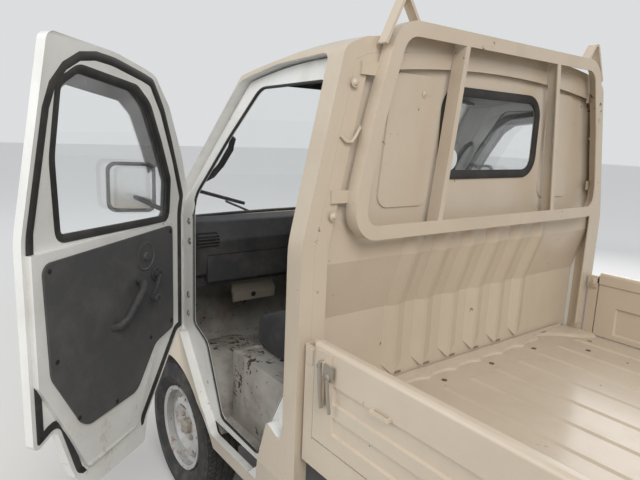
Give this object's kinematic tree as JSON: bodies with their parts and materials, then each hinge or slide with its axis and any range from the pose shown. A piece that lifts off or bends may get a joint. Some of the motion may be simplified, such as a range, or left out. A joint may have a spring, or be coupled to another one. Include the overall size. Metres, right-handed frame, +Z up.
{
  "type": "kei truck",
  "caption": "Small cab-over flat-bed truck with drop gates round the bed, a guard frame behind the cab and its left door standing open.",
  "frame": {"origin": "middle of the bed floor's top face, on the truck's middle plane", "axes": "+Z up, -Y towards the front of the truck, +X towards its left side"},
  "size_m": [2.2732, 3.396, 1.771],
  "materials": {
    "sand_paint": "brushed-on gloss sand paint, chipped and dusty",
    "white_paint": "worn dirty white enamel",
    "black_steel": "dusty black chassis paint",
    "engine_iron": "oily cast metal",
    "rusted_steel": "heat-stained, rusty",
    "clear_glass": "clear, lightly dusty",
    "lamp_lens": "fluted clear lens",
    "red_lens": "ribbed lens",
    "dark_plastic": "grained, sun-faded",
    "grey_card": "grained vinyl on board, scuffed",
    "seat_vinyl": "worn vinyl cloth",
    "black_rubber": "matt, dusty",
    "wheel_paint": "dull silver-grey, rust at the edges",
    "tyre_rubber": "dusty tread"
  },
  "bodies": {
    "body": {"cab_side_left": "sand_paint", "cab_side_right": "sand_paint", "cab_back": "sand_paint", "roof": "sand_paint", "front_panel": "sand_paint", "front_bumper": "sand_paint", "guard_frame": "sand_paint", "bed_floor": "sand_paint", "bed_frame": "sand_paint", "chassis_frame": "black_steel", "cross_members": "black_steel", "front_suspension": "black_steel", "rear_axle": "black_steel", "leaf_springs": "black_steel", "fuel_tank": "black_steel", "steering_column": "black_steel", "cab_floor": "white_paint", "engine": "engine_iron", "exhaust": "rusted_steel", "windscreen": "clear_glass", "rear_window": "clear_glass", "headlamps": "lamp_lens", "rear_lamps": "red_lens", "dashboard": "dark_plastic", "seats": "seat_vinyl", "rear_mudguards": "black_rubber"},
    "door_left_body": {"door_left": "sand_paint", "glass_left": "clear_glass", "trim_left": "grey_card", "mirror_left": "dark_plastic"},
    "door_right_body": {"door_right": "sand_paint", "glass_right": "clear_glass", "trim_right": "grey_card", "mirror_right": "dark_plastic"},
    "gate_left_body": {"gate_left": "sand_paint"},
    "gate_right_body": {"gate_right": "sand_paint"},
    "tailgate_body": {"tailgate": "sand_paint"},
    "knuckle_left_body": {"knuckle_left": "black_steel"},
    "knuckle_right_body": {"knuckle_right": "black_steel"},
    "steering_wheel_body": {"steering_wheel": "dark_plastic"},
    "wheel_front_left": {"rim_front_left": "wheel_paint", "tyre_front_left": "tyre_rubber"},
    "wheel_front_right": {"rim_front_right": "wheel_paint", "tyre_front_right": "tyre_rubber"},
    "wheel_rear_left": {"rim_rear_left": "wheel_paint", "tyre_rear_left": "tyre_rubber"},
    "wheel_rear_right": {"rim_rear_right": "wheel_paint", "tyre_rear_right": "tyre_rubber"}
  },
  "joints": [
    {"name": "left_door", "type": "hinge", "parent": "body", "child": "door_left_body", "pos_m": [0.734, -1.7775, 0.245], "axis": [0, 0, -1], "range_deg": [-54, 11]},
    {"name": "right_door", "type": "hinge", "parent": "body", "child": "door_right_body", "pos_m": [-0.734, -1.7775, 0.245], "axis": [0, 0, 1], "range_deg": [0, 65]},
    {"name": "left_gate", "type": "hinge", "parent": "body", "child": "gate_left_body", "pos_m": [0.731, 0.0215, -0.001], "axis": [0, 1, 0], "range_deg": [0, 170]},
    {"name": "right_gate", "type": "hinge", "parent": "body", "child": "gate_right_body", "pos_m": [-0.731, 0.0215, -0.001], "axis": [0, -1, 0], "range_deg": [0, 170]},
    {"name": "rear_gate", "type": "hinge", "parent": "body", "child": "tailgate_body", "pos_m": [0, 1.0225, -0.001], "axis": [-1, 0, 0], "range_deg": [0, 170]},
    {"name": "left_steer", "type": "hinge", "parent": "body", "child": "knuckle_left_body", "pos_m": [0.592, -1.819, -0.465], "axis": [0, 0, 1], "range_deg": [-32, 32]},
    {"name": "right_steer", "type": "hinge", "parent": "body", "child": "knuckle_right_body", "pos_m": [-0.592, -1.819, -0.465], "axis": [0, 0, 1], "range_deg": [-32, 32]},
    {"name": "hand_wheel", "type": "hinge", "parent": "body", "child": "steering_wheel_body", "pos_m": [-0.33, -1.7035, 0.32], "axis": [0, 0.6714, 0.7411], "range_deg": [-512, 512]},
    {"name": "front_left_spin", "type": "hinge", "parent": "knuckle_left_body", "child": "wheel_front_left", "pos_m": [0.652, -1.819, -0.394], "axis": [1, 0, 0], "continuous": true},
    {"name": "front_right_spin", "type": "hinge", "parent": "knuckle_right_body", "child": "wheel_front_right", "pos_m": [-0.652, -1.819, -0.394], "axis": [1, 0, 0], "continuous": true},
    {"name": "rear_left_spin", "type": "hinge", "parent": "body", "child": "wheel_rear_left", "pos_m": [0.652, 0.081, -0.394], "axis": [1, 0, 0], "continuous": true},
    {"name": "rear_right_spin", "type": "hinge", "parent": "body", "child": "wheel_rear_right", "pos_m": [-0.652, 0.081, -0.394], "axis": [1, 0, 0], "continuous": true}
  ],
  "couplings": [
    {"joint": "right_steer", "follows": "left_steer", "ratio": 1},
    {"joint": "hand_wheel", "follows": "left_steer", "ratio": 16}
  ]
}
